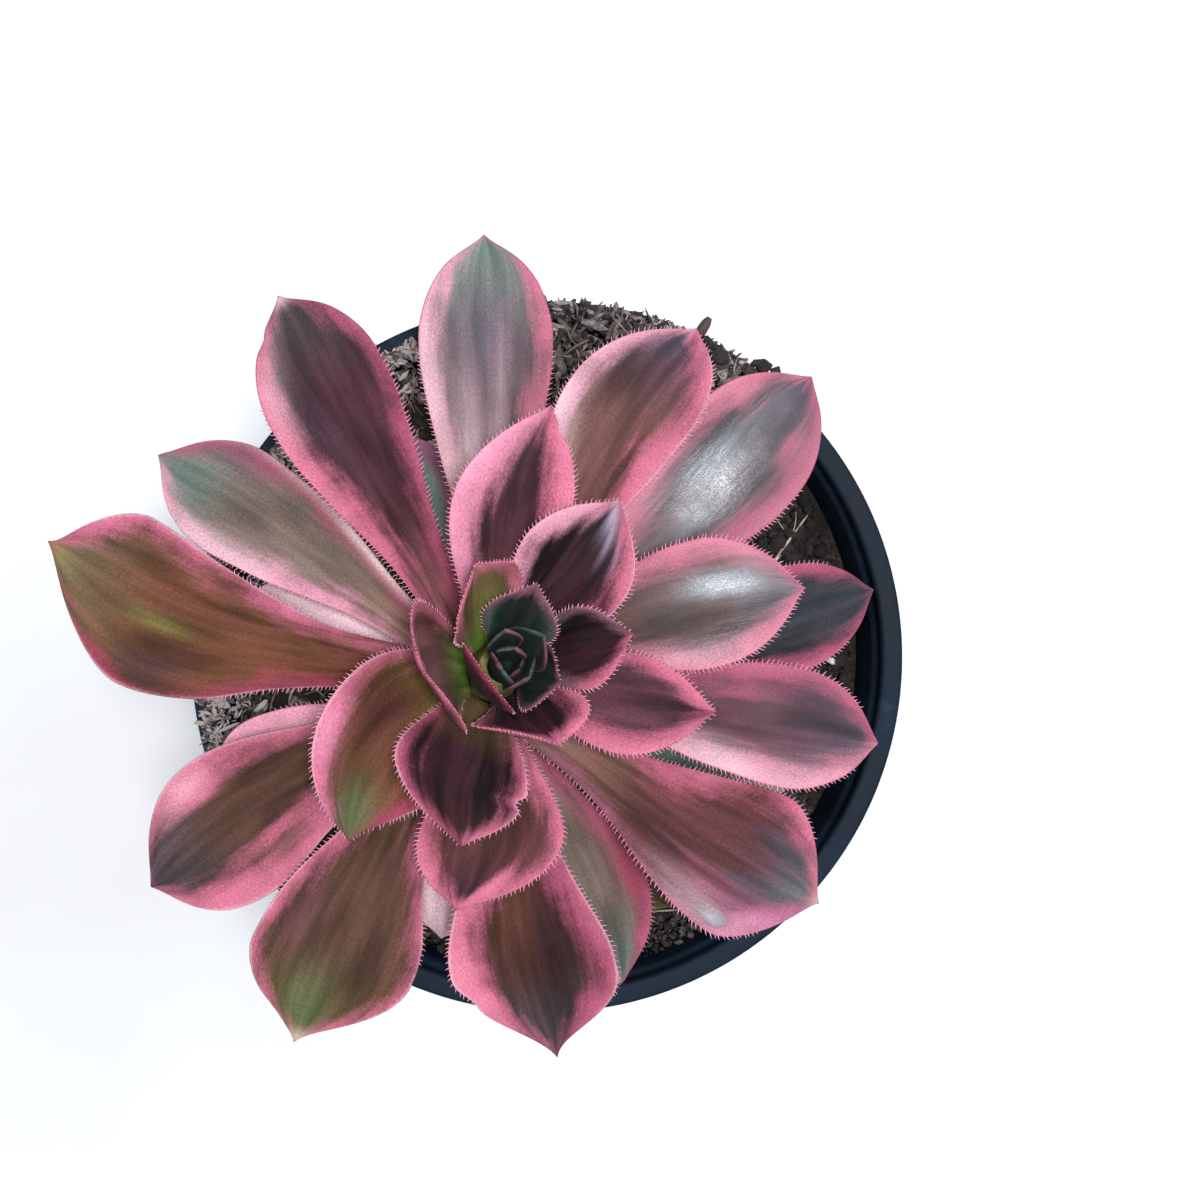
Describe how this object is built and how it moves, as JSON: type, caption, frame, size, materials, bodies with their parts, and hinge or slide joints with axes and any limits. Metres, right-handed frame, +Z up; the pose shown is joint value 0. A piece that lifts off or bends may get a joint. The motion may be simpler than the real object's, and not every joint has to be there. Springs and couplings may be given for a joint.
{
  "type": "potted succulent",
  "caption": "Rosette succulent with fleshy, rose-edged spoon-shaped leaves on a short leaning stem, growing in bark mix in a round tapered nursery pot.",
  "frame": {"origin": "the middle of the pot's underside, on the surface that it stands on", "axes": "+Z up through the middle of the pot; seen from above with +Y at the top, +X is to the right, and the plant's head leans towards azimuth 31 degrees from +X"},
  "size_m": [0.1436, 0.1396, 0.1538],
  "materials": {
    "pot_plastic": "satin",
    "bark_mix": "matte",
    "stem_skin": "matte",
    "leaf_skin": "satin",
    "bud_leaf": "satin"
  },
  "bodies": {
    "root": {"pot": "pot_plastic", "potting_mix": "bark_mix", "stem": "stem_skin", "bud": "bud_leaf", "leaf_01": "leaf_skin", "leaf_02": "leaf_skin", "leaf_03": "leaf_skin", "leaf_04": "leaf_skin", "leaf_05": "leaf_skin", "leaf_06": "leaf_skin", "leaf_07": "leaf_skin", "leaf_08": "leaf_skin", "leaf_09": "leaf_skin", "leaf_10": "leaf_skin", "leaf_11": "leaf_skin", "leaf_12": "leaf_skin", "leaf_13": "leaf_skin", "leaf_14": "leaf_skin", "leaf_15": "leaf_skin", "leaf_16": "leaf_skin", "leaf_17": "leaf_skin", "leaf_18": "leaf_skin", "leaf_19": "leaf_skin", "leaf_20": "leaf_skin", "leaf_21": "leaf_skin", "leaf_22": "leaf_skin", "leaf_23": "leaf_skin", "leaf_24": "leaf_skin", "leaf_25": "leaf_skin", "leaf_26": "leaf_skin", "leaf_27": "leaf_skin", "leaf_28": "leaf_skin", "leaf_29": "leaf_skin", "leaf_30": "leaf_skin", "leaf_31": "leaf_skin", "leaf_32": "leaf_skin", "leaf_33": "leaf_skin", "leaf_34": "leaf_skin"}
  },
  "joints": []
}
